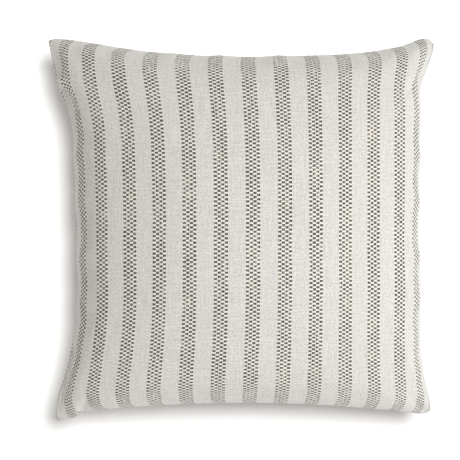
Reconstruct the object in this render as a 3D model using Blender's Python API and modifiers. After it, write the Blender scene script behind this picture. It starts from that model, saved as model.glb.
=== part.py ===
"""Square throw pillow: a two-panel cover with a hidden zip in its bottom seam, over a filled inner pillow.

The pillow lies on its back. +Z is up, +Y is the pillow's top edge, and the zip runs along its bottom edge.
The origin is on the surface it rests on, under the middle of the seam outline.
"""

from math import asin, cos, pi, radians, sin, sqrt

import bmesh
import bpy
from mathutils import Matrix, Vector

# Outline of the filled pillow, seam to seam: its box, how its corners differ, and how its sides pull in
WIDTH = 0.478
HEIGHT = 0.470
BOTTOM_NARROWER = 0.0155
BOTTOM_SHIFT = 0.00425
RIGHT_SHORTER = 0.0145
RIGHT_SHIFT = 0.00325
LEFT_PULL = 0.031
RIGHT_PULL = 0.017
TOP_PULL = 0.019
BOTTOM_PULL = 0.022
LEFT_PULL_POWER = 2.3
RIGHT_PULL_POWER = 4.0
TOP_PULL_POWER = 2.0

# Height of the front dome over the seam, and of the seam over the surface below
FRONT_RISE = 0.095
BACK_DEPTH = 0.075
BACK_FULLNESS = 0.090
PANEL_CELLS = 16

# Cover
COVER_THICKNESS = 0.0012
SEAM_GAP = 0.0005
LIP = 0.003

# Zip, in the bottom seam
ZIP_SEAM_Y = BOTTOM_PULL - HEIGHT / 2
ZIP_SEAM_RADIUS = 1.75
ZIP_END_MARGIN = 0.05525
SLIT_PAST_ZIP = 0.019
TAPE_PAST_ZIP = 0.012
ZIP_LENGTH = WIDTH - BOTTOM_NARROWER - 2 * ZIP_END_MARGIN
SLIT_LENGTH = ZIP_LENGTH + 2 * SLIT_PAST_ZIP
TAPE_LENGTH = ZIP_LENGTH + 2 * TAPE_PAST_ZIP
SLIT_WIDTH = 0.0068
SLIT_TAPER = 0.020
TAPE_WIDTH = 0.0100
TAPE_THICKNESS = 0.0005
TAPE_LEAN = radians(18)
COIL_DIAMETER = 0.0012
COIL_SPACING = 0.0028
COIL_DEPTH = 0.0024
STOP_LENGTH = 0.003
STOP_DEPTH = 0.0016

# Slider and pull
SLIDER_LENGTH = 0.009
SLIDER_PLATE = 0.0011
SLIDER_POST_WIDTH = 0.0010
SLIDER_POST_LENGTH = 0.005
SLIDER_SETBACK = 0.0003
SLIDER_RUNNING_GAP = 0.0004
BRIDGE_LENGTH = 0.0062
BRIDGE_WIDTH = 0.0014
BRIDGE_BAR = 0.0008
BRIDGE_LEG = 0.0009
PULL_LENGTH = 0.0225
PULL_WIDTH = 0.0052
PULL_THICKNESS = 0.0007
PULL_ARM = 0.0008
PULL_NECK = 0.0050

# Threads and labels
SEAM_THREAD = 0.0005
OVERLOCK_THREAD = 0.0008
SEWN_PAST_SLIT = 0.018
CORNER_CUT = 0.85
ZIP_THREAD = 0.0006
INSERT_THREAD = 0.0004
LABEL_THICKNESS = 0.0003
CARE_LABEL_LENGTH = 0.030
CARE_LABEL_HEIGHT = 0.0165
CARE_LABEL_LEAN = radians(12)
INSERT_LABEL_LENGTH = 0.040
INSERT_LABEL_HEIGHT = 0.013
CLOSING_LENGTH = 0.150

# Inner pillow
INSERT_INSET = 0.009
INSERT_CLEARANCE = 0.0005
TICKING_THICKNESS = 0.0005
TICKING_LIP = 0.002
FILLING_CLEARANCE = 0.0007
FILLING_INSET = 0.0030

GAP = 0.0003


def corners(inset):
    """Bottom left, bottom right, top left and top right seam corners, moved in by the inset on both axes."""
    top, bottom = WIDTH / 2 - inset, (WIDTH - BOTTOM_NARROWER) / 2 - inset
    left, right = HEIGHT / 2 - inset, (HEIGHT - RIGHT_SHORTER) / 2 - inset
    return (
        Vector((BOTTOM_SHIFT - bottom, -left)),
        Vector((BOTTOM_SHIFT + bottom, RIGHT_SHIFT - right)),
        Vector((-top, left)),
        Vector((top, RIGHT_SHIFT + right)),
    )


def arc_y(x, inset):
    """Y of the zip's arc at x: a circle about a far centre below the pillow."""
    radius = ZIP_SEAM_RADIUS + inset
    return ZIP_SEAM_Y - ZIP_SEAM_RADIUS + sqrt(radius * radius - x * x)


def bottom_edge(t, inset):
    """The arc, then a flare to the corner beyond the zip's tape."""
    left, right = corners(inset)[:2]
    x = left.x + (right.x - left.x) * (t + 1) / 2
    corner = left if x < 0 else right
    start = SLIT_LENGTH / 2
    beyond = max(0.0, (abs(x) - start) / (abs(corner.x) - start))
    flare = corner.y - arc_y(corner.x, inset)
    return Vector((x, arc_y(x, inset) + flare * beyond * beyond))


def top_edge(t, inset):
    left, right = corners(inset)[2:]
    pull = TOP_PULL * (1 - abs(t) ** TOP_PULL_POWER)
    return left.lerp(right, (t + 1) / 2) - Vector((0, pull))


def left_edge(t, inset):
    low, _, high, _ = corners(inset)
    pull = LEFT_PULL * (1 - abs(t) ** LEFT_PULL_POWER)
    return low.lerp(high, (t + 1) / 2) + Vector((pull, 0))


def right_edge(t, inset):
    _, low, _, high = corners(inset)
    pull = RIGHT_PULL * (1 - abs(t) ** RIGHT_PULL_POWER)
    return low.lerp(high, (t + 1) / 2) - Vector((pull, 0))


def plan_point(u, v, inset):
    """Coons patch: the point of the plan at u, v from -1 to 1, blended between the four seams."""
    low_left, low_right, high_left, high_right = corners(inset)
    across, up = (u + 1) / 2, (v + 1) / 2
    sides = left_edge(v, inset).lerp(right_edge(v, inset), across)
    ends = bottom_edge(u, inset).lerp(top_edge(u, inset), up)
    plane = low_left.lerp(low_right, across).lerp(high_left.lerp(high_right, across), up)
    return sides + ends - plane


def slit_rise(x, v):
    """How far a panel's edge stands back from the seam plane over the zip. It dies out up the panel."""
    closing = (abs(x) - SLIT_LENGTH / 2) / SLIT_TAPER
    opening = 1 - min(1.0, max(0.0, closing))
    return opening * (SLIT_WIDTH - SEAM_GAP) / 2 * ((1 - v) / 2) ** 8


def panel_rise(u, v, edge_rise, rise):
    """Height over the seam plane: the product of two quarter circles, over the panel's edge."""
    fullness = sqrt(max(0.0, 1 - u * u) * max(0.0, 1 - v * v))
    return edge_rise + (rise - edge_rise) * fullness


def eased(t):
    """Spaces the cells evenly along the dome's curve, so they are small where it turns under."""
    return sin(pi / 2 * t)


def panel_mesh(inset, rise, flat_at, lip, side, edge_gap, over_zip):
    """Open dome with a short upright lip at the seam. side is 1 for the front and -1 for the back."""
    mesh = bmesh.new()
    bmesh.ops.create_grid(mesh, x_segments=PANEL_CELLS, y_segments=PANEL_CELLS, size=1)
    edge_rises = {}
    for vertex in mesh.verts:
        u, v = eased(vertex.co.x), eased(vertex.co.y)
        plan = plan_point(u, v, inset)
        edge_rise = edge_gap / 2 + (slit_rise(plan.x, v) if over_zip else 0.0)
        height = min(panel_rise(u, v, edge_rise + lip, rise), flat_at)
        edge_rises[vertex] = edge_rise
        vertex.co = (plan.x, plan.y, BACK_DEPTH + side * height)
    rim = [edge for edge in mesh.edges if edge.is_boundary]
    made = bmesh.ops.extrude_edge_only(mesh, edges=rim)["geom"]
    for vertex in (item for item in made if isinstance(item, bmesh.types.BMVert)):
        vertex.co.z -= side * lip
    if side < 0:
        bmesh.ops.reverse_faces(mesh, faces=mesh.faces)
    return mesh


def finish_mesh(name, mesh, material):
    data = bpy.data.meshes.new(name)
    mesh.to_mesh(data)
    mesh.free()
    obj = bpy.data.objects.new(name, data)
    parts.objects.link(obj)
    data.materials.append(material)
    return obj


def shade_round(obj):
    obj.data.shade_smooth()
    obj.data.set_sharp_from_angle(angle=radians(40))


def solidify(obj, thickness):
    modifier = obj.modifiers.new("Wall", "SOLIDIFY")
    modifier.thickness = thickness
    modifier.offset = -1
    shade_round(obj)


def make_material(name, color, roughness, metallic=0.0):
    material = bpy.data.materials.new(name)
    material.use_nodes = True
    shader = material.node_tree.nodes["Principled BSDF"]
    shader.inputs["Base Color"].default_value = (*color, 1)
    shader.inputs["Roughness"].default_value = roughness
    shader.inputs["Metallic"].default_value = metallic
    return material


def make_cover():
    cloth = make_material("striped_cotton", (0.70, 0.67, 0.63), 0.9)
    front = panel_mesh(0, FRONT_RISE, FRONT_RISE, LIP, 1, SEAM_GAP, True)
    solidify(finish_mesh("cover_front_panel", front, cloth), COVER_THICKNESS)
    back = panel_mesh(0, BACK_FULLNESS, BACK_DEPTH, LIP, -1, SEAM_GAP, True)
    solidify(finish_mesh("cover_back_panel", back, cloth), COVER_THICKNESS)


def insert_offset():
    return COVER_THICKNESS + INSERT_CLEARANCE


def make_insert():
    ticking = make_material("ticking", (0.80, 0.79, 0.76), 0.85)
    down = insert_offset()
    sides = (("insert_front_ticking", 1, FRONT_RISE, FRONT_RISE), ("insert_back_ticking", -1, BACK_FULLNESS, BACK_DEPTH))
    for name, side, rise, flat_at in sides:
        mesh = panel_mesh(INSERT_INSET, rise - down, flat_at - down, TICKING_LIP, side, SEAM_GAP, False)
        solidify(finish_mesh(name, mesh, ticking), TICKING_THICKNESS)


def make_filling():
    """One closed solid: a front dome and a back dome that share their edge."""
    down = insert_offset() + TICKING_THICKNESS + FILLING_CLEARANCE
    inset = INSERT_INSET + FILLING_INSET
    lip = TICKING_LIP + SEAM_GAP / 2 - TICKING_THICKNESS - FILLING_CLEARANCE
    filling = panel_mesh(inset, FRONT_RISE - down, FRONT_RISE - down, lip, 1, 0, False)
    back = panel_mesh(inset, BACK_FULLNESS - down, BACK_DEPTH - down, lip, -1, 0, False)
    back_data = bpy.data.meshes.new("filling_back")
    back.to_mesh(back_data)
    back.free()
    filling.from_mesh(back_data)
    bpy.data.meshes.remove(back_data)
    bmesh.ops.remove_doubles(filling, verts=filling.verts, dist=0.00002)
    shade_round(finish_mesh("filling", filling, make_material("feather_filling", (0.85, 0.83, 0.78), 0.95)))


def make_tube(name, points, diameter, material, closed=False):
    curve = bpy.data.curves.new(name, "CURVE")
    curve.dimensions = "3D"
    curve.bevel_depth = diameter / 2
    curve.bevel_resolution = 1
    curve.use_fill_caps = not closed
    spline = curve.splines.new("POLY")
    spline.points.add(len(points) - 1)
    for point, place in zip(spline.points, points):
        point.co = (*place, 1)
    spline.use_cyclic_u = closed
    obj = bpy.data.objects.new(name, curve)
    curve.materials.append(material)
    parts.objects.link(obj)
    return obj


def edge_points(inset, edge, reach, count=10):
    """Points along a seam, from one end of its reach to the other. A reach under 1 cuts the corners short."""
    return [edge(eased(reach * (2 * i / count - 1)), inset) for i in range(count + 1)]


def sewn_sides(inset):
    """Points up the right seam, along the top and down the left, from one end of the zip's slit to the other."""
    right, left = corners(inset)[1], corners(inset)[0]
    middle, half = (right.x + left.x) / 2, (right.x - left.x) / 2
    past_slit = SLIT_LENGTH / 2 + SEWN_PAST_SLIT
    right_start = (past_slit - middle) / half
    left_end = (-past_slit - middle) / half
    points = [bottom_edge(right_start, inset), bottom_edge((right_start + 1) / 2, inset)]
    points += edge_points(inset, right_edge, CORNER_CUT)
    points += reversed(edge_points(inset, top_edge, CORNER_CUT))
    points += reversed(edge_points(inset, left_edge, CORNER_CUT))
    points += [bottom_edge((left_end - 1) / 2, inset), bottom_edge(left_end, inset)]
    return [Vector((point.x, point.y, BACK_DEPTH)) for point in points]


def whole_outline(inset):
    points = edge_points(inset, bottom_edge, 1)[:-1]
    points += edge_points(inset, right_edge, 1)[:-1]
    points += edge_points(inset, top_edge, 1)[:0:-1]
    points += edge_points(inset, left_edge, 1)[:0:-1]
    return [Vector((point.x, point.y, BACK_DEPTH)) for point in points]


def make_threads():
    thread = make_material("cotton_thread", (0.78, 0.76, 0.71), 0.8)
    seam_inset = COVER_THICKNESS + GAP + SEAM_THREAD / 2
    make_tube("cover_seam_thread", sewn_sides(seam_inset), SEAM_THREAD, thread)
    overlock_inset = seam_inset + (SEAM_THREAD + OVERLOCK_THREAD) / 2 + 2 * GAP
    make_tube("cover_overlock_thread", sewn_sides(overlock_inset), OVERLOCK_THREAD, thread)
    insert_inset = INSERT_INSET + TICKING_THICKNESS + 2 * GAP + INSERT_THREAD / 2
    make_tube("insert_seam_thread", whole_outline(insert_inset), INSERT_THREAD, thread, closed=True)
    closing_inset = INSERT_INSET - GAP - INSERT_THREAD / 2
    reach = asin(CLOSING_LENGTH / WIDTH) * 2 / pi
    closing = edge_points(closing_inset, top_edge, reach, 6)
    closing = [Vector((point.x, point.y, BACK_DEPTH)) for point in closing]
    make_tube("insert_closing_stitch", closing, INSERT_THREAD, thread)


def box(mesh, low, high):
    """Adds a box between two corners."""
    low, high = Vector(low), Vector(high)
    place = Matrix.Translation((low + high) / 2) @ Matrix.Diagonal((*(high - low), 1))
    bmesh.ops.create_cube(mesh, size=1, matrix=place)


def zip_frame(travel):
    """Axes at a distance along the zip from its middle: X along the seam, Y into the pillow, Z up."""
    turn = -travel / ZIP_SEAM_RADIUS
    centre = Vector((0, ZIP_SEAM_Y - ZIP_SEAM_RADIUS, BACK_DEPTH))
    return Matrix.Translation(centre) @ Matrix.Rotation(turn, 4, "Z") @ Matrix.Translation((0, ZIP_SEAM_RADIUS, 0))


def along_zip(length, depth, height, count):
    steps = [length * (i / count - 0.5) for i in range(count + 1)]
    return [zip_frame(step) @ Vector((0, depth, height)) for step in steps]


def make_tape(name, side, material):
    """A flat strip swept along the zip's arc, leaning in as the panel behind it does."""
    first = SLIDER_RUNNING_GAP / 2 + COIL_SPACING / 2 + COIL_DIAMETER / 2 + GAP / 2
    low = Vector((0, COIL_DEPTH, side * first))
    high = low + TAPE_WIDTH * Vector((0, sin(TAPE_LEAN), side * cos(TAPE_LEAN)))
    across = TAPE_THICKNESS / 2 * Vector((0, cos(TAPE_LEAN), -side * sin(TAPE_LEAN)))
    section = (low - across, low + across, high + across, high - across)
    count = 16
    mesh = bmesh.new()
    rings = []
    for i in range(count + 1):
        frame = zip_frame(TAPE_LENGTH * (i / count - 0.5))
        rings.append([mesh.verts.new(frame @ point) for point in section])
    for near, far in zip(rings, rings[1:]):
        for i in range(4):
            mesh.faces.new((near[i], near[i - 1], far[i - 1], far[i]))
    mesh.faces.new(rings[0])
    mesh.faces.new(reversed(rings[-1]))
    bmesh.ops.recalc_face_normals(mesh, faces=mesh.faces)
    return finish_mesh(name, mesh, material)


def make_zip():
    tape = make_material("zip_tape", (0.80, 0.78, 0.72), 0.85)
    nylon = make_material("nylon_coil", (0.82, 0.80, 0.75), 0.4)
    metal = make_material("lacquered_stop", (0.74, 0.72, 0.68), 0.35)
    thread = make_material("zip_thread", (0.78, 0.76, 0.71), 0.8)
    coil_low = (COIL_SPACING - COIL_DIAMETER) / 2
    coil_high = coil_low + COIL_DIAMETER
    for name, side in (("front", 1), ("back", -1)):
        make_tape(f"zip_tape_{name}", side, tape)
        coil = along_zip(ZIP_LENGTH - 2 * STOP_LENGTH - 2 * GAP, COIL_DEPTH, side * COIL_SPACING / 2, 16)
        make_tube(f"zip_coil_{name}", coil, COIL_DIAMETER, nylon)
        panel_edge = SLIT_WIDTH / 2 + LIP / 2
        stitch_depth = COVER_THICKNESS + GAP + ZIP_THREAD / 2 + GAP / 2
        stitches = along_zip(TAPE_LENGTH, stitch_depth, side * panel_edge, 16)
        make_tube(f"zip_stitching_{name}", stitches, ZIP_THREAD, thread)
        stop = bmesh.new()
        low, high = sorted((side * coil_low, side * coil_high))
        box(stop, (0, COIL_DEPTH - STOP_DEPTH / 2, low), (STOP_LENGTH, COIL_DEPTH + STOP_DEPTH / 2, high))
        bmesh.ops.transform(stop, matrix=zip_frame(-ZIP_LENGTH / 2), verts=stop.verts)
        finish_mesh(f"zip_top_stop_{name}", stop, metal)
    stop = bmesh.new()
    box(
        stop,
        (-STOP_LENGTH, COIL_DEPTH - STOP_DEPTH / 2, -coil_high),
        (0, COIL_DEPTH + STOP_DEPTH / 2, coil_high),
    )
    bmesh.ops.transform(stop, matrix=zip_frame(ZIP_LENGTH / 2), verts=stop.verts)
    finish_mesh("zip_bottom_stop", stop, metal)


def place(obj, frame, parent=None):
    """Gives an object its origin at a frame, with its mesh already in that frame's own axes."""
    obj.parent = parent
    obj.matrix_world = frame
    return obj


def slider_centre():
    """Distance along the zip from its middle to the closed slider's middle."""
    return -(ZIP_LENGTH / 2 - STOP_LENGTH - GAP - SLIDER_LENGTH / 2)


def bridge_depth():
    """How far the pull's hinge pin stands out from the seam's edge."""
    return GAP + PULL_THICKNESS / 2 - SLIDER_SETBACK


def make_slider(axis):
    metal = make_material("lacquered_zinc", (0.76, 0.74, 0.70), 0.3)
    half = SLIDER_LENGTH / 2
    tall = SLIT_WIDTH / 2 - SLIDER_RUNNING_GAP
    outer_face = SLIDER_SETBACK
    outer_inside = outer_face + SLIDER_PLATE
    inner_face = COIL_DEPTH + COIL_DIAMETER / 2 + SLIDER_RUNNING_GAP
    out = bridge_depth() + PULL_THICKNESS / 2 + GAP
    leg = BRIDGE_LENGTH / 2
    bite = SLIDER_PLATE / 4
    solids = (
        ((-half, outer_face, -tall), (half, outer_inside, tall)),
        ((-half, inner_face, -tall), (half, inner_face + SLIDER_PLATE, tall)),
        (
            (-SLIDER_POST_LENGTH / 2, outer_inside - bite, -SLIDER_POST_WIDTH / 2),
            (SLIDER_POST_LENGTH / 2, inner_face + bite, SLIDER_POST_WIDTH / 2),
        ),
        ((-leg, -out - BRIDGE_BAR, -BRIDGE_WIDTH / 2), (leg, -out, BRIDGE_WIDTH / 2)),
        ((-leg, -out - bite, -BRIDGE_WIDTH / 2), (-leg + BRIDGE_LEG, outer_face + bite, BRIDGE_WIDTH / 2)),
        ((leg - BRIDGE_LEG, -out - bite, -BRIDGE_WIDTH / 2), (leg, outer_face + bite, BRIDGE_WIDTH / 2)),
    )
    slider = join_boxes("zip_slider", solids, metal)
    place(slider, zip_frame(slider_centre()), axis)
    return slider


def join_boxes(name, solids, material):
    """A union of boxes. The first carries the Booleans and the others are hidden cutters."""
    joined = None
    for number, (low, high) in enumerate(solids):
        mesh = bmesh.new()
        box(mesh, low, high)
        if joined is None:
            joined = finish_mesh(name, mesh, material)
            continue
        piece = finish_mesh(f"{name}_join_{number}", mesh, material)
        parts.objects.unlink(piece)
        cutters.objects.link(piece)
        piece.hide_render = True
        piece.display_type = "WIRE"
        piece.parent = joined
        union = joined.modifiers.new(f"Join {number}", "BOOLEAN")
        union.operation = "UNION"
        union.object = piece
    return joined


def make_pull(axis):
    """A flat tab with two arms and a pin through the bridge, lying back along the closed zip."""
    metal = make_material("lacquered_pull", (0.76, 0.74, 0.70), 0.3)
    thin = PULL_THICKNESS / 2
    arm_low = BRIDGE_WIDTH / 2 + GAP
    arm_high = arm_low + PULL_ARM
    solids = (
        ((PULL_NECK, -thin, -PULL_WIDTH / 2), (PULL_LENGTH, thin, PULL_WIDTH / 2)),
        ((-thin, -thin, -arm_high), (thin, thin, arm_high)),
        ((-thin, -thin, arm_low), (PULL_NECK + thin, thin, arm_high)),
        ((-thin, -thin, -arm_high), (PULL_NECK + thin, thin, -arm_low)),
    )
    pull = join_boxes("zip_pull", solids, metal)
    pin = zip_frame(slider_centre()) @ Matrix.Translation((0, -bridge_depth(), 0))
    place(pull, pin, axis)
    return pull


def upright_label(name, edge, t, inset, low, length, height, lean, material):
    """A thin sheet standing beside a seam, along it for its length and leaning into the pillow."""
    here, ahead = edge(t, inset), edge(t + 0.01, inset)
    along = Vector((ahead.x - here.x, ahead.y - here.y, 0)).normalized()
    inward = Vector((-along.y, along.x, 0))
    if inward.dot(Vector((here.x, here.y, 0))) > 0:
        inward.negate()
    rise = (inward * sin(lean) + Vector((0, 0, cos(lean)))).normalized()
    normal = along.cross(rise)
    mesh = bmesh.new()
    box(mesh, (-length / 2, -LABEL_THICKNESS / 2, 0), (length / 2, LABEL_THICKNESS / 2, height))
    turn = Matrix((along, normal, rise)).transposed().to_4x4()
    turn.translation = (here.x, here.y, BACK_DEPTH + low)
    bmesh.ops.transform(mesh, matrix=turn, verts=mesh.verts)
    bmesh.ops.recalc_face_normals(mesh, faces=mesh.faces)
    return finish_mesh(name, mesh, material)


def make_labels():
    satin = make_material("label_satin", (0.85, 0.85, 0.83), 0.5)
    beside_seam = COVER_THICKNESS + 2 * GAP + SEAM_THREAD / 2
    low = OVERLOCK_THREAD / 2 + GAP
    upright_label(
        "care_label", left_edge, -0.35, beside_seam, low,
        CARE_LABEL_LENGTH, CARE_LABEL_HEIGHT, CARE_LABEL_LEAN, satin,
    )
    beside_insert = INSERT_INSET - 2 * GAP
    upright_label(
        "insert_label", right_edge, -0.2, beside_insert, -TICKING_LIP / 2,
        INSERT_LABEL_LENGTH, INSERT_LABEL_HEIGHT, 0, satin,
    )


def new_collection(name):
    collection = bpy.data.collections.new(name)
    bpy.context.scene.collection.children.link(collection)
    return collection


def make_pillow():
    make_cover()
    make_insert()
    make_filling()
    make_threads()
    make_labels()
    make_zip()
    axis = bpy.data.objects.new("zip_arc_centre", None)
    parts.objects.link(axis)
    axis.location = (0, ZIP_SEAM_Y - ZIP_SEAM_RADIUS, BACK_DEPTH)
    bpy.context.view_layer.update()
    slider = make_slider(axis)
    bpy.context.view_layer.update()
    make_pull(slider)


for old in list(bpy.data.objects):
    bpy.data.objects.remove(old)
parts = new_collection("throw_pillow")
cutters = new_collection("cutters")
make_pillow()
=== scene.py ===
# %% [markdown]
# # A square throw pillow, stuffed and lying on its back
# The real thing is a woven cotton cover, sewn inside out round three sides, with a zip in the
# fourth, pulled over a separate insert: a bag of plain ticking blown full of feathers.
# This lesson builds each of those pieces as a mesh worked out with numpy, in the same frame as
# the CAD model: metres, X to the right, Y up the stripes and Z away from the table.

# %% The CAD frame
import functools

import bpy
import numpy as np
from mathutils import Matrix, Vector


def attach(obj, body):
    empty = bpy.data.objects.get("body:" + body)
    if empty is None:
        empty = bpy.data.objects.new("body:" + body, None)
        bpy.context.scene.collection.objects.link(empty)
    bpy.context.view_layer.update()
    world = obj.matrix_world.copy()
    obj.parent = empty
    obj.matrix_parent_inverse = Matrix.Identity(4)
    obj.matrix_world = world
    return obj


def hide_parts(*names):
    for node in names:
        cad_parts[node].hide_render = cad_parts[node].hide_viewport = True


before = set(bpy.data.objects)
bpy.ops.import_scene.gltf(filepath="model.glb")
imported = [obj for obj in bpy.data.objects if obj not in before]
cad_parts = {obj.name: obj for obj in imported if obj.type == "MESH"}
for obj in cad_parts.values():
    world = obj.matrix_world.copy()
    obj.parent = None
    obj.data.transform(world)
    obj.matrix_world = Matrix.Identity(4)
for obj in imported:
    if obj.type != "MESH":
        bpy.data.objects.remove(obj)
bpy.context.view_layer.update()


# %% [markdown]
# ## Small tools
# Colours are written as the sRGB codes that a swatch book gives, and Blender wants linear light,
# so one function converts them. Another turns arrays into a mesh, and one more says which body a
# piece rides on. Every material is grown by one function that adds a node, fills its inputs in
# order and hands back its output, so that a formula in the nodes reads like a formula.

# %% Colours, meshes and nodes
MM = 0.001


def linear(code):
    """sRGB hex to linear light: c / 12.92 when dark, otherwise ((c + 0.055) / 1.055) to the power 2.4."""
    srgb = np.array([int(code[i:i + 2], 16) for i in (1, 3, 5)]) / 255
    light = np.where(srgb <= 0.04045, srgb / 12.92, ((srgb + 0.055) / 1.055) ** 2.4)
    return (*light.tolist(), 1.0)


def make_mesh(name, points, faces):
    """A mesh from an array of points and a list or array of faces."""
    mesh = bpy.data.meshes.new(name)
    faces = faces.tolist() if isinstance(faces, np.ndarray) else faces
    mesh.from_pydata(points.reshape(-1, 3).tolist(), [], faces)
    mesh.update()
    mesh.shade_smooth()
    return mesh


def add_piece(name, shape, material, cad_node, body="pillow"):
    """A finished piece from a mesh or from (points, faces), on its body, in place of a CAD node."""
    mesh = make_mesh(name, *shape) if isinstance(shape, tuple) else shape
    mesh.materials.append(material)
    piece = bpy.data.objects.new(name, mesh)
    bpy.context.scene.collection.objects.link(piece)
    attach(piece, body)
    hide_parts(cad_node)
    print(name, "has", len(mesh.polygons), "faces")
    return piece


def fill(socket, value):
    """Links an input to another node's output, or gives it a number or a colour."""
    if isinstance(value, bpy.types.NodeSocket):
        socket.id_data.links.new(value, socket)
    else:
        socket.default_value = value


def add_node(tree, kind, *values, out=None, **settings):
    """Adds a node and returns an output, the first in use unless named. A kind in capitals is an
    operation of the Math node. Values fill the inputs in use, in order, or by name."""
    if kind.isupper():
        settings["operation"] = kind
        kind = "Math"
    node = tree.nodes.new("ShaderNode" + kind)
    for name, value in settings.items():
        if name in node.inputs:
            fill(node.inputs[name], value)
        else:
            setattr(node, name, value)
    in_use = [socket for socket in node.inputs if socket.enabled]
    for socket, value in zip(in_use, values):
        fill(socket, value)
    return node.outputs[out] if out else next(socket for socket in node.outputs if socket.enabled)


def new_material(name):
    """A material, and add_node for its own tree."""
    material = bpy.data.materials.new(name)
    material.use_nodes = True
    return material, functools.partial(add_node, material.node_tree)


def finish(material, **looks):
    """Fills the shader's inputs: Base_Color=colour fills the one called Base Color."""
    shader = material.node_tree.nodes["Principled BSDF"]
    for name, value in looks.items():
        fill(shader.inputs[name.replace("_", " ")], value)
    return material


SMOOTH = {"interpolation_type": "SMOOTHSTEP"}
COLOUR = {"data_type": "RGBA"}


# %% [markdown]
# ## Camera, floor and light
# The pillow is looked at from straight above, far enough for it to look nearly flat on. White
# surroundings fill every side, a wide soft light from the right rounds the pillow, and a second
# light that only reaches the floor keeps the paper white, with a short soft shadow on the left
# and below.

# %% Camera
SEAM_HEIGHT = 0.075
CAMERA_ABOVE_SEAM = 2.2
VIEW_WIDTH = 0.5686
CAMERA_X = -0.013

camera_data = bpy.data.cameras.new("Camera")
camera_data.angle = 2 * np.arctan(VIEW_WIDTH / 2 / CAMERA_ABOVE_SEAM)
camera = bpy.data.objects.new("Camera", camera_data)
camera.location = (CAMERA_X, 0, SEAM_HEIGHT + CAMERA_ABOVE_SEAM)
bpy.context.scene.collection.objects.link(camera)
bpy.context.scene.camera = camera
bpy.context.scene.view_settings.view_transform = "Standard"
print("view angle", round(np.degrees(camera_data.angle), 2))

# %% Floor and light
FLOOR_HALF = 6.0
KEY_TINT = (0.97, 0.99, 1.0)
KEY_PLACE = Vector((1.2, -0.15, 2.35))
KEY_SIZE = 1.2
KEY_POWER = 53.5
FLOOR_LIGHT_PLACE = Vector((0.62, 0.58, 2.8))
FLOOR_LIGHT_SIZE = 1.3
FLOOR_LIGHT_POWER = 105
SKY_STRENGTH = 0.455

floor_corners = np.array([(-1, -1, 0), (1, -1, 0), (1, 1, 0), (-1, 1, 0)]) * FLOOR_HALF
floor = bpy.data.objects.new("floor", make_mesh("floor", floor_corners, [(0, 1, 2, 3)]))
# Matt background paper: even and rough, so that it shows a shadow and no shine.
paper, _ = new_material("white_paper_floor")
floor.data.materials.append(finish(paper, Base_Color=linear("#f4f4f4"), Roughness=0.9))
bpy.context.scene.collection.objects.link(floor)


def disk_light(name, place, size, power):
    """A round soft light that looks at the middle of the floor."""
    data = bpy.data.lights.new(name, "AREA")
    data.shape = "DISK"
    data.size = size
    data.energy = power
    light = bpy.data.objects.new(name, data)
    light.location = place
    light.rotation_euler = (-place).to_track_quat("-Z", "Y").to_euler()
    bpy.context.scene.collection.objects.link(light)
    return light


def link_to_floor(light, state):
    """INCLUDE lets a light reach only the floor, and EXCLUDE everything but the floor."""
    reached = bpy.data.collections.new(light.name + "_reach")
    reached.objects.link(floor)
    reached.collection_objects[0].light_linking.link_state = state
    light.light_linking.receiver_collection = reached


key = disk_light("key", KEY_PLACE, KEY_SIZE, KEY_POWER)
key.data.color = KEY_TINT
link_to_floor(key, "EXCLUDE")
floor_light = disk_light("floor_light", FLOOR_LIGHT_PLACE, FLOOR_LIGHT_SIZE, FLOOR_LIGHT_POWER)
link_to_floor(floor_light, "INCLUDE")

world = bpy.data.worlds.new("white_room")
bpy.context.scene.world = world
world.use_nodes = True
background = world.node_tree.nodes["Background"]
fill(background.inputs["Color"], linear("#fffdf8"))
fill(background.inputs["Strength"], SKY_STRENGTH)
print("key light at", tuple(KEY_PLACE))


# %% [markdown]
# ## The seam lines
# Both panels are cut square, and stuffing pulls the middle of every side in while the corners
# stay out. The four seams are drawn as the CAD draws them: straight lines between the corners,
# pulled in by 1 - |t| to a power, and a shallow arc along the zip. On top of that each seam
# gets a few soft waves of its own, where the stuffing pushes it out or a fold takes it in. A
# patch between the four seams gives a point of the plan for any two numbers from -1 to 1. The
# stripes run straight over the stuffed middle and only bend close to a seam, so each seam's
# own shape is given a grip on the cloth that falls off quickly.

# %% Seam curves
WIDTH = 0.478
HEIGHT = 0.470
BOTTOM_NARROWER = 0.0155
BOTTOM_SHIFT = 0.00425
RIGHT_SHORTER = 0.0145
RIGHT_SHIFT = 0.00325
LEFT_PULL = 0.031
LEFT_POWER = 2.3
RIGHT_PULL = 0.017
RIGHT_POWER = 4.0
TOP_PULL = 0.019
TOP_POWER = 2.0
ZIP_SEAM_Y = -0.213
ZIP_RADIUS = 1.75
SLIT_LENGTH = 0.390
SLIT_TAPER = 0.020
SLIT_HALF = 0.0034
SEAM_HALF_GAP = 0.00025
CORNER_CALM = 0.03
SEAM_GRIP = 8
# Each wave: its centre and width as shares of the half seam, and its height.
TOP_WAVES = ((-0.86, 0.16, 0.0048), (-0.62, 0.12, 0.0015), (0.94, 0.07, 0.009), (0.52, 0.22, -0.0015))
BOTTOM_WAVES = ((-0.92, 0.05, -0.0065), (0.96, 0.05, -0.003))
LEFT_WAVES = ((0.55, 0.15, 0.006), (0.77, 0.06, -0.004), (-0.45, 0.12, 0.0025), (-0.88, 0.10, -0.006))
RIGHT_WAVES = ((0.93, 0.06, 0.003), (0.76, 0.08, -0.006), (-0.32, 0.15, 0.0025), (-0.90, 0.08, 0.0025))


def between(low, high, share):
    """Straight from low at 0 to high at 1."""
    return low + (high - low) * share


def fade(value, low, high):
    """0 below low, 1 above high, and 3 s squared - 2 s cubed between."""
    s = np.clip((value - low) / (high - low), 0, 1)
    return s * s * (3 - 2 * s)


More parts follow.
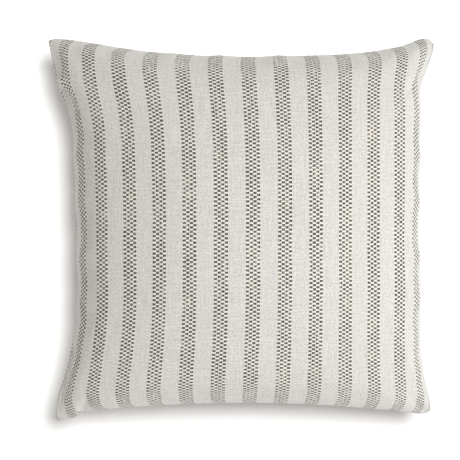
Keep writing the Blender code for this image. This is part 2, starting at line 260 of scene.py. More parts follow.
def waves(t, *shapes):
    """Sum of height exp(-((t - centre) / width) squared), which dies out at the corners."""
    total = sum(height * np.exp(-((t - centre) / width) ** 2) for centre, width, height in shapes)
    return total * fade(1 - abs(t), 0, CORNER_CALM)


def corners(inset):
    """Bottom left, bottom right, top left and top right corners of the seam, as (x, y) pairs."""
    top, bottom = WIDTH / 2 - inset, (WIDTH - BOTTOM_NARROWER) / 2 - inset
    left, right = HEIGHT / 2 - inset, (HEIGHT - RIGHT_SHORTER) / 2 - inset
    return (
        (BOTTOM_SHIFT - bottom, -left),
        (BOTTOM_SHIFT + bottom, RIGHT_SHIFT - right),
        (-top, left),
        (top, RIGHT_SHIFT + right),
    )


def arc_y(x, inset):
    """A circle about a far centre below the pillow: y = centre + sqrt(radius squared - x squared)."""
    radius = ZIP_RADIUS + inset
    return ZIP_SEAM_Y - ZIP_RADIUS + np.sqrt(radius * radius - x * x)


def bottom_seam(t, inset):
    """The zip's arc, then a square-law flare to each corner beyond the slit."""
    left, right = corners(inset)[:2]
    x = between(left[0], right[0], (t + 1) / 2)
    corner_x = np.where(x < 0, left[0], right[0])
    corner_y = np.where(x < 0, left[1], right[1])
    beyond = np.maximum(0, (abs(x) - SLIT_LENGTH / 2) / (abs(corner_x) - SLIT_LENGTH / 2))
    y = arc_y(x, inset) + (corner_y - arc_y(corner_x, inset)) * beyond ** 2
    return x, y + waves(t, *BOTTOM_WAVES) * fade(beyond, 0, 0.3)


def top_seam(t, inset):
    """The line between the top corners, pulled down by 1 - |t| to a power."""
    left, right = corners(inset)[2:]
    share = (t + 1) / 2
    pull = TOP_PULL * (1 - abs(t) ** TOP_POWER) - waves(t, *TOP_WAVES)
    return between(left[0], right[0], share), between(left[1], right[1], share) - pull


def side_seam(t, low, high, pull, power, shapes):
    """The line between two corners, moved sideways by pull (1 - |t| to a power) and its waves."""
    share = (t + 1) / 2
    moved = pull * (1 - abs(t) ** power) + waves(t, *shapes)
    return between(low[0], high[0], share) + moved, between(low[1], high[1], share)


def left_seam(t, inset):
    low, _, high, _ = corners(inset)
    return side_seam(t, low, high, LEFT_PULL, LEFT_POWER, LEFT_WAVES)


def right_seam(t, inset):
    _, low, _, high = corners(inset)
    return side_seam(t, low, high, -RIGHT_PULL, RIGHT_POWER, RIGHT_WAVES)


def plan(u, v, inset=0.0):
    """A patch between the seams: a plain rectangle through the seams' middles, plus how far each
    seam strays from it. A seam's share is ((1 - distance) / 2) to a power. Corners count once."""
    middle = np.zeros(1)
    low_x, high_x = left_seam(middle, inset)[0], right_seam(middle, inset)[0]
    low_y, high_y = bottom_seam(middle, inset)[1], top_seam(middle, inset)[1]
    left, right = ((1 - u) / 2) ** SEAM_GRIP, ((1 + u) / 2) ** SEAM_GRIP
    low, high = ((1 - v) / 2) ** SEAM_GRIP, ((1 + v) / 2) ** SEAM_GRIP
    plain = between(low_x, high_x, (u + 1) / 2), between(low_y, high_y, (v + 1) / 2)
    sides = ((low_x, plain[1]), (high_x, plain[1]), (plain[0], low_y), (plain[0], high_y))
    seams = (left_seam(v, inset), right_seam(v, inset), bottom_seam(u, inset), top_seam(u, inset))
    ends = ((low_x, low_y), (high_x, low_y), (low_x, high_y), (high_x, high_y))
    corner_shares = (left * low, right * low, left * high, right * high)
    ways = []
    for k in range(2):
        total = plain[k]
        for share, seam, side in zip((left, right, low, high), seams, sides):
            total = total + share * (seam[k] - side[k])
        for share, corner, end in zip(corner_shares, corners(inset), ends):
            total = total - share * (corner[k] - end[k])
        ways.append(total)
    return ways[0], ways[1]


few_t = np.linspace(-1, 1, 9)
print("left seam x, mm:", np.round(left_seam(few_t, 0)[0] / MM, 1))


# %% [markdown]
# ## The stuffed dome
# Cloth doesn't stretch, so a stripe keeps its width along the surface and only looks narrower
# where the pillow turns under. Each section is close to half an ellipse, so a place on the flat
# cloth is found by going the same share of the way round the ellipse. Along the seams there is
# nothing to go round: the cloth lies flat there, and is gathered only next to the corners.

# %% Dome
CLOTH_SIDE = 0.508
SECTION_HALF = 0.211
SECTION_RISE = 0.103
FRONT_RISE = 0.095
BACK_FULLNESS = 0.090
REST_SOFTNESS = 0.004
FULLNESS = 0.88
SEAM_GATHER = 0.052
GATHER_POWER = 4
ARC_STEPS = 2001
ROUNDING_POWER = 3
MIDDLE_SHIFT = 0.0055
MIDDLE_POWER = 0.25
SEAM_SHIFT_LOW = 0.022
SEAM_SHIFT_HIGH = 0.038
SHIFT_POWER = 4
SLIT_POWER = 8


def round_section(t):
    """Shares of the half width and the rise, a share t of the way round a quarter of an ellipse."""
    angle = np.linspace(0, np.pi / 2, ARC_STEPS)
    speed = np.hypot(SECTION_HALF * np.cos(angle), SECTION_RISE * np.sin(angle))
    length = np.concatenate([[0], np.cumsum((speed[1:] + speed[:-1]) / 2)])
    at = np.interp(abs(t), length / length[-1], angle)
    return np.sign(t) * np.sin(at), np.cos(at)


def gathered(t):
    """Share of half a seam at a share t of its cloth: t (1 + g (1 - |t| to a power))."""
    return t * (1 + SEAM_GATHER * (1 - abs(t) ** GATHER_POWER))


def slit_rise(x, v):
    """How far a panel's edge stands off the seam plane over the zip, dying out up the panel."""
    closing = (abs(x) - SLIT_LENGTH / 2) / SLIT_TAPER
    opening = 1 - np.clip(closing, 0, 1)
    return opening * (SLIT_HALF - SEAM_HALF_GAP) * ((1 - v) / 2) ** SLIT_POWER


def dome(u, v, inset=0.0, drop=0.0, side=1, over_zip=True):
    """Points over the plan: height = edge + (rise - edge) (share u share v) to a power."""
    across, tall_u = round_section(u)
    up, tall_v = round_section(v)
    seam_u = gathered(u) + between(SEAM_SHIFT_LOW, SEAM_SHIFT_HIGH, (v + 1) / 2) * (1 - u ** SHIFT_POWER)
    plan_u = between(seam_u, across, 1 - (1 - tall_v) ** ROUNDING_POWER)
    plan_v = between(gathered(v), up, 1 - (1 - tall_u) ** ROUNDING_POWER)
    x, y = plan(plan_u, plan_v, inset)
    x = x + MIDDLE_SHIFT * tall_u * tall_v ** MIDDLE_POWER
    edge = SEAM_HALF_GAP + (slit_rise(x, plan_v) if over_zip else 0)
    rise = (FRONT_RISE if side > 0 else BACK_FULLNESS) - drop
    height = edge + (rise - edge) * (tall_u * tall_v) ** FULLNESS
    if side < 0:
        height = settle(height, SEAM_HEIGHT - drop)
    return np.stack([x, y, SEAM_HEIGHT + side * height], -1)


def settle(height, limit):
    """The table stops the back: the smooth minimum -s log(exp(-h / s) + exp(-limit / s)), scaled."""
    s = REST_SOFTNESS
    soft = -s * np.logaddexp(-height / s, -limit / s)
    return soft * limit / soft.max()


middle_heights = dome(np.zeros_like(few_t), few_t)[:, 2]
print("dome heights up the middle, mm:", np.round(middle_heights / MM, 1))


# %% [markdown]
# ## Inflating the cloth
# A smooth dome looks moulded. Real panels are flat squares sewn together and blown up, and the
# spare cloth gathers in shallow puckers along the sides and folds at the corners. So two flat
# panels, welded at the seam, are inflated with the Cloth modifier until they hold the insert's
# volume. What is kept is only how that shape differs from a smooth one, which is then laid on
# the dome: the seams and the height stay where the CAD has them.

# %% Cloth simulation
CLOTH_CELLS = 84
FRAMES = 24
FILLED_VOLUME = 0.0199
START_BULGE = 0.02


def grid_quads(index):
    """Four corners of each cell of an index grid, anticlockwise seen from above."""
    cells = [index[:-1, :-1], index[:-1, 1:], index[1:, 1:], index[1:, :-1]]
    return np.stack(cells, -1).reshape(-1, 4)


def inflate():
    """Two flat squares welded at the edge, blown up by the Cloth modifier. Returns the front's points."""
    count = CLOTH_CELLS + 1
    t = np.linspace(-1, 1, count)
    u, v = np.meshgrid(t, t)
    index = np.arange(count ** 2).reshape(count, count)
    inner = np.zeros((count, count), bool)
    inner[1:-1, 1:-1] = True
    back = index.copy()
    back[inner] = count ** 2 + np.arange(inner.sum())
    bulge = START_BULGE * (1 - u ** 2) * (1 - v ** 2)
    half = CLOTH_SIDE / 2
    front_points = np.stack([u * half, v * half, bulge], -1)
    back_points = np.stack([u * half, v * half, -bulge], -1)[inner]
    points = np.concatenate([front_points.reshape(-1, 3), back_points])
    faces = np.concatenate([grid_quads(index), grid_quads(back)[:, ::-1]])
    bag = bpy.data.objects.new("bag", make_mesh("bag", points, faces))
    bpy.context.scene.collection.objects.link(bag)
    cloth = bag.modifiers.new("Cloth", "CLOTH")
    weave = cloth.settings
    weave.quality = 6
    weave.mass = 0.3
    weave.tension_stiffness = 15
    weave.compression_stiffness = 1
    weave.shear_stiffness = 2
    weave.bending_stiffness = 5
    weave.tension_damping = 5
    weave.compression_damping = 5
    weave.shear_damping = 5
    weave.bending_damping = 0.5
    weave.air_damping = 1
    weave.use_pressure = True
    weave.uniform_pressure_force = 0.5
    weave.use_pressure_volume = True
    weave.target_volume = FILLED_VOLUME
    weave.effector_weights.gravity = 0
    cloth.collision_settings.use_collision = False
    cloth.point_cache.frame_start = 1
    cloth.point_cache.frame_end = FRAMES
    for number in range(1, FRAMES + 1):
        bpy.context.scene.frame_set(number)
    blown = bag.evaluated_get(bpy.context.evaluated_depsgraph_get()).data
    moved = np.empty(len(blown.vertices) * 3, np.float32)
    blown.vertices.foreach_get("co", moved)
    moved = moved.reshape(-1, 3).astype(float)
    bpy.data.objects.remove(bag)
    return moved[index]


# %% The puckers alone
SMOOTH_DEGREE = 8
PUCKER_CAP = 0.006
PUCKER_SHARE = 0.7
SEAM_CALM = 0.012


def smooth_part(values, weight):
    """Least-squares fit of weight times a polynomial in both directions, which follows no pucker."""
    count = len(values)
    t = np.linspace(-1, 1, count)
    basis = np.polynomial.chebyshev.chebvander2d(*np.meshgrid(t, t), [SMOOTH_DEGREE] * 2)
    basis = (basis * weight[..., None]).reshape(count ** 2, -1)
    share = np.linalg.lstsq(basis, values.reshape(count ** 2, -1), rcond=None)[0]
    return (basis @ share).reshape(values.shape)


def puckers():
    """What the blown shape has beyond a smooth one, capped: d becomes d / (1 + |d| / cap)."""
    count = CLOTH_CELLS + 1
    t = np.linspace(-1, 1, count)
    u, v = np.meshgrid(t, t)
    _, tall_u = round_section(u)
    _, tall_v = round_section(v)
    blown = inflate()
    drawn = dome(u, v, over_zip=False)
    drawn[..., 2] -= SEAM_HEIGHT
    gap = blown - drawn
    extra = gap.copy()
    extra[..., :2] -= smooth_part(gap[..., :2], np.ones_like(u))
    extra[..., 2] -= smooth_part(gap[..., 2:], (tall_u * tall_v) ** FULLNESS + 1e-6)[..., 0]
    print("puckers before the cap, mm:", np.round(abs(extra).max((0, 1)) / MM, 1))
    size = np.linalg.norm(extra, axis=-1, keepdims=True)
    return PUCKER_SHARE * extra / (1 + size / PUCKER_CAP)


pucker_grid = puckers()


# %% [markdown]
# ## The woven cloth
# The ground is a fine plain weave of warm off-white cotton. Every 37.5 mm a band of dark slub
# yarns runs up the cloth in four columns. A column shows as short dashes where its two dark
# yarns float over the weft, half a step out from its neighbours, like bricks. Slub yarn is
# spun unevenly, so its tone drifts from charcoal to beige along its length. The pattern reads
# the flat cloth's own millimetres, stored on every point, so it bends with the surface.

# %% Striped cotton
STRIPE_PERIOD = 37.5
STRIPE_WIDTH = 17.1
STRIPE_SWAY = 1.2
COLUMN_WIDTH = STRIPE_WIDTH / 4
DASH_PERIOD = 5.0
DASH_HALF_HEIGHT = 1.05
DASH_EXTRA_HEIGHT = 0.75
DASH_HALF_WIDTH = 1.95
SOFT_EDGE = 0.3
ROW_SLACK = 0.22
GROUND_YARN = 0.9
YARNS_A_STRIPE = 17.0
YARNS_A_PANEL = 400.0
YARN_TONES = ((0.36, "#292724"), (0.60, "#4a4640"), (0.80, "#726c62"), (0.96, "#b4ab9d"))
BLACKEST_YARN = (0.06, "#12100f")


def flat_cloth(node):
    """The place on the flat cloth in millimetres: across, up, and which panel."""
    place = node("Attribute", attribute_name="cloth_mm", out="Vector")
    return node("SeparateXYZ", place).node.outputs


def striped_cotton():
    """Brick-set dark dashes in bands over a fine off-white plain weave."""
    cotton, node = new_material("striped_slub_cotton")
    across, up, panel = flat_cloth(node)

    # Which stripe, and how far from its middle. The stripes sway a little on their way up.
    wander = node("TexNoise", node("CombineXYZ", 0.0, node("MULTIPLY", up, 0.02), panel), 1.0)
    sway = node("MULTIPLY", node("SUBTRACT", wander, 0.5), STRIPE_SWAY)
    swayed = node("ADD", across, sway)
    stripe = node("FLOOR", node("DIVIDE", node("ADD", swayed, STRIPE_PERIOD / 2), STRIPE_PERIOD))
    in_stripe = node("SUBTRACT", swayed, node("MULTIPLY", stripe, STRIPE_PERIOD))
    half = STRIPE_WIDTH / 2
    band = node("MapRange", node("ABSOLUTE", in_stripe), half + SOFT_EDGE, half - SOFT_EDGE, **SMOOTH)

    # Which column, and which of its two yarns. Each yarn has its own number for the noise below.
    place = node("DIVIDE", node("ADD", in_stripe, half), COLUMN_WIDTH)
    column = node("FLOOR", place)
    aside = node("MULTIPLY", node("SUBTRACT", node("FRACT", place), 0.5), COLUMN_WIDTH)
    yarn = node("FLOOR", node("MULTIPLY", place, 2.0))
    yarn = node("ADD", node("MULTIPLY", stripe, YARNS_A_STRIPE), yarn)
    yarn = node("ADD", yarn, node("MULTIPLY", panel, YARNS_A_PANEL))

    # Which row: every second column is half a step out, and no yarn keeps step exactly.
    brick = node("MULTIPLY", node("FLOORED_MODULO", column, 2.0), 0.5)
    slack = node("TexNoise", node("CombineXYZ", yarn, node("MULTIPLY", up, 0.1), 3.0), 1.0)
    step = node("ADD", node("DIVIDE", up, DASH_PERIOD), brick)
    step = node("ADD", step, node("MULTIPLY", node("SUBTRACT", slack, 0.5), ROW_SLACK))
    row = node("FLOOR", step)
    along = node("MULTIPLY", node("SUBTRACT", node("FRACT", step), 0.5), DASH_PERIOD)
    chance = node("TexWhiteNoise", node("CombineXYZ", yarn, row, 0.0))

    # A dash is where both yarns float: some are taller, and a thin gap shows between the two.
    thick = node("ADD", DASH_HALF_HEIGHT, node("MULTIPLY", chance, DASH_EXTRA_HEIGHT))
    above = node("SUBTRACT", node("ABSOLUTE", along), thick)
    tall = node("MapRange", above, SOFT_EDGE, -SOFT_EDGE, **SMOOTH)
    edges = (DASH_HALF_WIDTH + SOFT_EDGE, DASH_HALF_WIDTH - SOFT_EDGE)
    wide = node("MapRange", node("ABSOLUTE", aside), *edges, **SMOOTH)
    split = node("MapRange", node("ABSOLUTE", aside), 0.0, 0.5, **SMOOTH)
    dash = node("MULTIPLY", node("MULTIPLY", tall, wide), band)

    # Slub yarn drifts in tone along its length, from dash to dash and over the whole cloth.
    drift_place = node("CombineXYZ", node("MULTIPLY", yarn, 5.3), node("MULTIPLY", up, 0.04), panel)
    drift = node("MapRange", node("TexNoise", drift_place, 1.0, 4.0), 0.22, 0.78, **SMOOTH)
    region_place = node("CombineXYZ", node("MULTIPLY", across, 0.012), node("MULTIPLY", up, 0.012), panel)
    region = node("TexNoise", region_place, 1.0)
    tone = node("ADD", drift, node("MULTIPLY", node("SUBTRACT", chance, 0.5), 0.8))
    tone = node("ADD", tone, node("MULTIPLY", node("SUBTRACT", region, 0.5), 0.8))
    ramp = node("ValToRGB", tone)
    stops = ramp.node.color_ramp.elements
    stops.remove(stops[1])
    stops[0].position, stops[0].color = BLACKEST_YARN[0], linear(BLACKEST_YARN[1])
    for position, code in YARN_TONES:
        stops.new(position).color = linear(code)
    tint = node("TexNoise", node("CombineXYZ", yarn, node("MULTIPLY", up, 0.06), 9.0), 1.0)
    rosy = node("MapRange", tint, 0.56, 0.76, **SMOOTH)
    dark = node("Mix", rosy, ramp, linear("#74675f"), **COLOUR)
    dark = node("Mix", node("MULTIPLY", split, 0.8), linear("#7d766c"), dark, **COLOUR)

    # The ground: long slubs both ways, small neps, and warmer patches.
    warp_place = node("CombineXYZ", node("MULTIPLY", across, 0.9), node("MULTIPLY", up, 0.03), panel)
    weft_place = node("CombineXYZ", node("MULTIPLY", across, 0.03), node("MULTIPLY", up, 0.9), panel)
    slub = node("ADD", node("TexNoise", warp_place, 1.0), node("TexNoise", weft_place, 1.0))
    nep = node("TexNoise", node("CombineXYZ", across, up, panel), 0.45, 3.0)
    uneven = node("ADD", node("MULTIPLY", slub, 0.5), nep)
    uneven = node("MapRange", uneven, 0.72, 1.28, **SMOOTH)
    ground = node("Mix", uneven, linear("#bfbdb8"), linear("#e2e0dd"), **COLOUR)
    warmth = node("TexNoise", node("CombineXYZ", across, up, 5.0), 0.16)
    warm = node("MULTIPLY", node("MapRange", warmth, 0.45, 0.7, **SMOOTH), 0.35)
    ground = node("Mix", warm, ground, linear("#d8d2ca"), **COLOUR)
    pale = node("Mix", chance, linear("#e2dfd8"), linear("#f4f2ee"), **COLOUR)
    light = node("Mix", band, ground, pale, **COLOUR)

    # Plain weave: every second crossing of the yarns lies a little lower, and is painted darker there as
    # painted shade.
    warp = node("SINE", node("MULTIPLY", node("DIVIDE", across, GROUND_YARN), np.pi))
    weft = node("SINE", node("MULTIPLY", node("DIVIDE", up, GROUND_YARN), np.pi))
    cell = node("MULTIPLY", warp, weft)
    painted_weave_shade = node("MULTIPLY", node("MapRange", cell, 0.35, -0.35, **SMOOTH), 0.10)
    light = node("Mix", painted_weave_shade, light, linear("#a9a49a"), **COLOUR)
    colour = node("Mix", dash, light, dark, **COLOUR)

    # Heights: two rounded yarns in a dash, low floats between dashes, cells and slubs.
    yarns = node("ABSOLUTE", node("SINE", node("MULTIPLY", place, 2 * np.pi)))
    floats = node("MULTIPLY", dash, node("ADD", 0.45, node("MULTIPLY", yarns, 0.4)))
    low_floats = node("MULTIPLY", node("SUBTRACT", band, dash), 0.35)
    height = node("ADD", node("ADD", floats, low_floats), node("MULTIPLY", cell, 0.12))
    height = node("ADD", height, node("MULTIPLY", slub, 0.15))
    bump = node("Bump", Strength=0.6, Distance=0.0006, Height=height)
    return finish(cotton, Base_Color=colour, Normal=bump, Roughness=0.88, Sheen_Weight=0.15,
                  Sheen_Roughness=0.6, Specular_IOR_Level=0.25)


cover_cotton = striped_cotton()
print("cloth nodes:", len(cover_cotton.node_tree.nodes))


# %% [markdown]
# ## The cover's two panels
# Each panel is one sheet: the dome with the puckers laid on it, rolled in a little where it
# meets the seam, then turned inside as a narrow hem. The sheet gets its wall by moving every
# point inwards along its normal, and the outer and inner sheets are closed at the hem's end.
# Over the zip the two edges stand apart and leave a groove.

# %% Laying the puckers on
CLOTH_WALL = 0.0010
FINE_CELLS = 188
NEAR_SEAM_MM = np.array([0.5, 1.1, 1.8])
SEAM_ROLL = 0.0005
ROLL_REACH = 0.0025
HEM_DEPTHS = (0.0005, 0.0012)
FLAT_HALF_MM = CLOTH_SIDE / 2 / MM
SPARE_LEFT_MM = 3.2
SPARE_RIGHT_MM = 1.2
ZIP_CALM = 0.03
ZIP_CALM_Y = (0.165, 0.205)
TABLE_CALM = 0.03
UV_MARGIN = 1.1
INNER_UV_PLACE = 0.002
INNER_UV_SHARE = 0.03

near = 1 - NEAR_SEAM_MM / FLAT_HALF_MM
fine_t = np.unique(np.concatenate([np.linspace(-1, 1, FINE_CELLS + 1), near, -near]))
fine_u, fine_v = np.meshgrid(fine_t, fine_t)


def cubic_weights(at, count):
    """Catmull-Rom weights that read an even grid of count points on -1..1 at the places at."""
    place = (at + 1) / 2 * (count - 1)
    cell = np.clip(np.floor(place).astype(int), 0, count - 2)
    f = place - cell
    shares = (
        2 * f ** 2 - f ** 3 - f,
        3 * f ** 3 - 5 * f ** 2 + 2,
        f + 4 * f ** 2 - 3 * f ** 3,
        f ** 3 - f ** 2,
    )
    weights = np.zeros((len(at), count))
    rows = np.arange(len(at))
    for shift, share in zip((-1, 0, 1, 2), shares):
        np.add.at(weights, (rows, np.clip(cell + shift, 0, count - 1)), share / 2)
    return weights


def seam_distance(u, v):
    """Distance along the cloth to the nearest side of the panel."""
    return (1 - np.maximum(abs(u), abs(v))) * CLOTH_SIDE / 2


def laid_puckers(u, v, side):
    """The puckers at u, v, calm along the zip, level at the seam and gone where the back rests."""
    read = cubic_weights(fine_t, CLOTH_CELLS + 1)
    extra = np.einsum("ia,jb,abk->ijk", read, read, pucker_grid)
    x, y = plan(u, v)
    zip_zone = fade(SLIT_LENGTH / 2 + ZIP_CALM - abs(x), 0, ZIP_CALM) * fade(-y, *ZIP_CALM_Y)
    extra = extra * (1 - zip_zone)[..., None]
    extra[..., 2] *= side * fade(seam_distance(u, v), 0, SEAM_CALM)
    return extra


def cover_points(side):
    """The outer face of a panel of the cover."""
    x = plan(fine_u, fine_v)[0]
    over_slit = fade(SLIT_LENGTH / 2 + SLIT_TAPER - abs(x), 0, SLIT_TAPER) * (fine_v < 0)
    roll = SEAM_ROLL * np.exp(-(seam_distance(fine_u, fine_v) / ROLL_REACH) ** 2)
    roll = np.where(abs(fine_u) > -fine_v, roll, roll * (1 - over_slit))
    points = dome(fine_u, fine_v, inset=roll, side=side)
    above_table = fade(points[..., 2], 0, TABLE_CALM) if side < 0 else 1.0
    points = points + laid_puckers(fine_u, fine_v, side) * np.atleast_1d(above_table)[..., None]
    points[..., 2] = np.maximum(points[..., 2], 0)
    return points


# %% Folds at the corners
# Each fold: where it starts and ends in the plan, its half width, and its depth.
FOLDS = (
    (0.240, 0.206, 0.205, 0.168, 0.0060, 0.0050),
    (-0.222, 0.186, -0.208, 0.152, 0.0042, -0.0030),
    (-0.218, 0.170, -0.200, 0.140, 0.0048, 0.0055),
    (-0.209, -0.150, -0.222, -0.205, 0.0060, 0.0035),
    (-0.198, -0.230, -0.188, -0.208, 0.0045, 0.0030),
    (0.228, -0.226, 0.210, -0.204, 0.0045, 0.0025),
    (-0.205, 0.222, -0.192, 0.200, 0.0060, 0.0015),
)
FOLD_CALM = 0.010


def folded(points, normals, calm):
    """Each fold is a groove about a line of the plan: depth exp(-(distance / width) squared)."""
    depth = np.zeros(points.shape[:2])
    for start_x, start_y, end_x, end_y, width, deep in FOLDS:
        start, way = np.array([start_x, start_y]), np.array([end_x - start_x, end_y - start_y])
        share = np.clip(((points[..., :2] - start) @ way) / (way @ way), 0, 1)
        off = points[..., :2] - start - share[..., None] * way
        depth += deep * np.exp(-(off ** 2).sum(-1) / width ** 2) * (1 - share / 2)
    return points - normals * (depth * calm)[..., None]


# %% Closing a panel into a shell
def rim_of(index):
    """The border of an index grid, anticlockwise from its first corner."""
    return np.concatenate([index[0, :-1], index[:-1, -1], index[-1, :0:-1], index[:0:-1, 0]])


def band_faces(first, second):
    """Quads between two closed loops of points, on the outer side of the first."""
    return np.stack([np.roll(first, -1), first, second, np.roll(second, -1)], -1)


def point_normals(points, faces):
    """Blender's own point normals for an array of points."""
    mesh = make_mesh("measure", points, faces)
    normals = np.empty(len(mesh.vertices) * 3, np.float32)
    mesh.vertex_normals.foreach_get("vector", normals)
    bpy.data.meshes.remove(mesh)
    return normals.reshape(-1, 3)


def cover_shell(name, side):
    """Outer sheet, hem and inner sheet of one panel, with the flat cloth's millimetres on each point."""
    outer = cover_points(side)
    count = len(fine_t)
    index = np.arange(count ** 2).reshape(count, count)
    if side > 0:
        calm = fade(seam_distance(fine_u, fine_v), 0, FOLD_CALM)
        outer = folded(outer, point_normals(outer, grid_quads(index)).reshape(outer.shape), calm)
    rim = rim_of(index)
    rim_u, rim_v = fine_u.ravel()[rim], fine_v.ravel()[rim]
    sheet = [outer.reshape(-1, 3)]
    flat = [np.stack([fine_u, fine_v], -1).reshape(-1, 2) * FLAT_HALF_MM]
    flat[0][:, 0] -= SPARE_LEFT_MM * fade(-flat[0][:, 0] / FLAT_HALF_MM, 0.9, 1)
    flat[0][:, 0] += SPARE_RIGHT_MM * fade(flat[0][:, 0] / FLAT_HALF_MM, 0.95, 1)
    seam_x, seam_y = plan(rim_u, rim_v)
    faces = [grid_quads(index)]
    loop = rim
    for number, depth in enumerate(HEM_DEPTHS):
        hem_x, hem_y = plan(rim_u, rim_v, depth)
        moved = np.stack([hem_x - seam_x, hem_y - seam_y, np.zeros_like(hem_x)], -1)
        sheet.append(sheet[0][rim] + moved)
        flat.append(flat[0][rim] * (1 + depth / (CLOTH_SIDE / 2)))
        ring = count ** 2 + number * len(rim) + np.arange(len(rim))
        faces.append(band_faces(loop, ring))
        loop = ring
    points, flat, faces = np.concatenate(sheet), np.concatenate(flat), np.concatenate(faces)
    if side < 0:
        faces = faces[:, ::-1]
    inner = points - point_normals(points, faces) * CLOTH_WALL
    hem_end = band_faces(loop, loop + len(points))
    hem_end = hem_end if side > 0 else hem_end[:, ::-1]
    all_faces = np.concatenate([faces, faces[:, ::-1] + len(points), hem_end])
    mesh = make_mesh(name, np.concatenate([points, inner]), all_faces)
    store_flat(mesh, np.concatenate([flat, flat]), side, len(points))
    return mesh


def store_flat(mesh, flat, side, outer_count):
    """The flat place as an attribute, and as a UV map: the outer face large, the inner face in a corner."""
    panel = np.full(len(flat), float(side < 0))
    place = mesh.attributes.new("cloth_mm", "FLOAT_VECTOR", "POINT")
    place.data.foreach_set("vector", np.column_stack([flat, panel]).astype(np.float32).ravel())
    corner = np.empty(len(mesh.loops), np.int32)
    mesh.loops.foreach_get("vertex_index", corner)
    inner = np.repeat(corner.reshape(-1, 4).max(1) >= outer_count, 4)
    shown = 0.5 + flat[corner] / (UV_MARGIN * 2 * FLAT_HALF_MM)
    layout = np.where(inner[:, None], INNER_UV_PLACE + INNER_UV_SHARE * shown, shown)
    uv = mesh.uv_layers.new(name="OFBake")
    uv.data.foreach_set("uv", layout.astype(np.float32).ravel())


SIDES = (("front", 1), ("back", -1))
for name, side in SIDES:
    shell = cover_shell(f"cover_{name}", side)
    piece = add_piece(shell.name, shell, cover_cotton, f"cover_{name}_panel")


# %% [markdown]
# ## The zip
# The zip lies in the bottom seam, out of sight from the front. Each half is a woven tape with a
# nylon spiral sewn to its edge, and the slider's post holds the two spirals apart as the CAD
# does. Everything follows the seam's arc, so it is worked out straight and then bent: a distance
# along the zip becomes an angle about the arc's far centre.

# %% Bending along the arc
def along_arc(length, depth, height):
    """Arc length to angle: x = (R + depth) sin(l / R), y = centre + (R + depth) cos(l / R), z up."""
    angle = length / ZIP_RADIUS
    reach = ZIP_RADIUS + depth
    y = ZIP_SEAM_Y - ZIP_RADIUS + reach * np.cos(angle)
    return np.stack(np.broadcast_arrays(reach * np.sin(angle), y, SEAM_HEIGHT + height), -1)


def tube(path, outward, radius, sides, closed=False):
    """A ring of points about each point of a path: path + r (cos a outward + sin a sideways)."""
    ahead = np.gradient(path, axis=0)
    if closed:
        ahead = np.roll(path, -1, axis=0) - np.roll(path, 1, axis=0)
    ahead /= np.linalg.norm(ahead, axis=1, keepdims=True)
    outward = np.broadcast_to(outward, path.shape)
    outward = outward - (outward * ahead).sum(1, keepdims=True) * ahead
    outward /= np.linalg.norm(outward, axis=1, keepdims=True)
    sideways = np.cross(ahead, outward)
    angle = np.arange(sides) * 2 * np.pi / sides
    spokes = np.cos(angle)[:, None] * outward[:, None] + np.sin(angle)[:, None] * sideways[:, None]
    points = path[:, None] + np.broadcast_to(radius, len(path))[:, None, None] * spokes
    index = np.arange(len(path) * sides).reshape(len(path), sides)
    index = np.concatenate([index, index[:1]]) if closed else index
    around = np.concatenate([index, index[:, :1]], axis=1)
    faces = grid_quads(around).tolist()
    if not closed:
        faces += [index[0, ::-1].tolist(), index[-1].tolist()]
    return points.reshape(-1, 3), faces


def joined(parts):
    """Several (points, faces) pairs as one."""
    points, faces, start = [], [], 0
    for some_points, some_faces in parts:
        points.append(some_points)
        faces += [[corner + start for corner in face] for face in some_faces]
        start += len(some_points)
    return np.concatenate(points), faces


def closed_sheet(middle, wall):
    """A thin closed slab about a grid of points: middle + and - half the wall along its normal."""
    along, across = np.gradient(middle, axis=0), np.gradient(middle, axis=1)
    normal = np.cross(across, along)
    normal /= np.linalg.norm(normal, axis=-1, keepdims=True)
    index = np.arange(middle[..., 0].size).reshape(middle.shape[:2])
    under = index + index.size
    rim = rim_of(index)
    edge = band_faces(rim, rim + index.size)
    faces = np.concatenate([grid_quads(index), grid_quads(under)[:, ::-1], edge])
    points = np.concatenate([middle + normal * wall / 2, middle - normal * wall / 2])
    return points.reshape(-1, 3), faces.tolist()


# %% Zip finishes
TWILL_TURN = 1.5
TWILL_RIB = 0.7


def zip_tape_cloth():
    """Herringbone twill: fine diagonals that turn back every few millimetres, painted lighter on each rib's
    top and with painted shade in its grooves.
    """
    tape, node = new_material("cream_polyester_twill")
    x, y, z = node("SeparateXYZ", node("TexCoord", out="Object")).node.outputs
    ridge = node("PINGPONG", node("MULTIPLY", z, 1 / MM), TWILL_TURN)
    slant = node("ADD", node("MULTIPLY", x, 1 / MM), ridge)
    rib = node("SINE", node("MULTIPLY", slant, 2 * np.pi / TWILL_RIB))
    # Painted light and shade: each rib's groove is coloured darker and its top lighter.
    painted_ridge_light = node("MapRange", rib, -1.0, 0.4, **SMOOTH)
    colour = node("Mix", painted_ridge_light, linear("#b9b4a6"), linear("#dcd8cb"), **COLOUR)
    bump = node("Bump", Strength=0.4, Distance=0.0001, Height=rib)
    return finish(tape, Base_Color=colour, Normal=bump, Roughness=0.82)


def cloudy(name, roughness, dark, light, scale):
    """An even finish whose colour drifts between two tones, with a fine grain in its surface."""
    material, node = new_material(name)
    place = node("TexCoord", out="Object")
    drift = node("MapRange", node("TexNoise", place, scale), 0.3, 0.7, **SMOOTH)
    colour = node("Mix", drift, linear(dark), linear(light), **COLOUR)
    bump = node("Bump", Strength=0.3, Distance=0.00001, Height=node("TexNoise", place, scale * 12))
    return finish(material, Base_Color=colour, Normal=bump, Roughness=roughness)


twill = zip_tape_cloth()
# Drawn nylon wire: smooth, a little shiny, and with a soft highlight along each turn.
nylon = cloudy("cream_nylon_monofilament", 0.32, "#d3cfc2", "#e0dccf", 300.0)
# Dipped lacquer over cast zinc: even and glossy, with a clear skin.
enamel = cloudy("cream_lacquer_on_zinc", 0.28, "#cdc8ba", "#d8d3c6", 150.0)
finish(enamel, Coat_Weight=0.4)

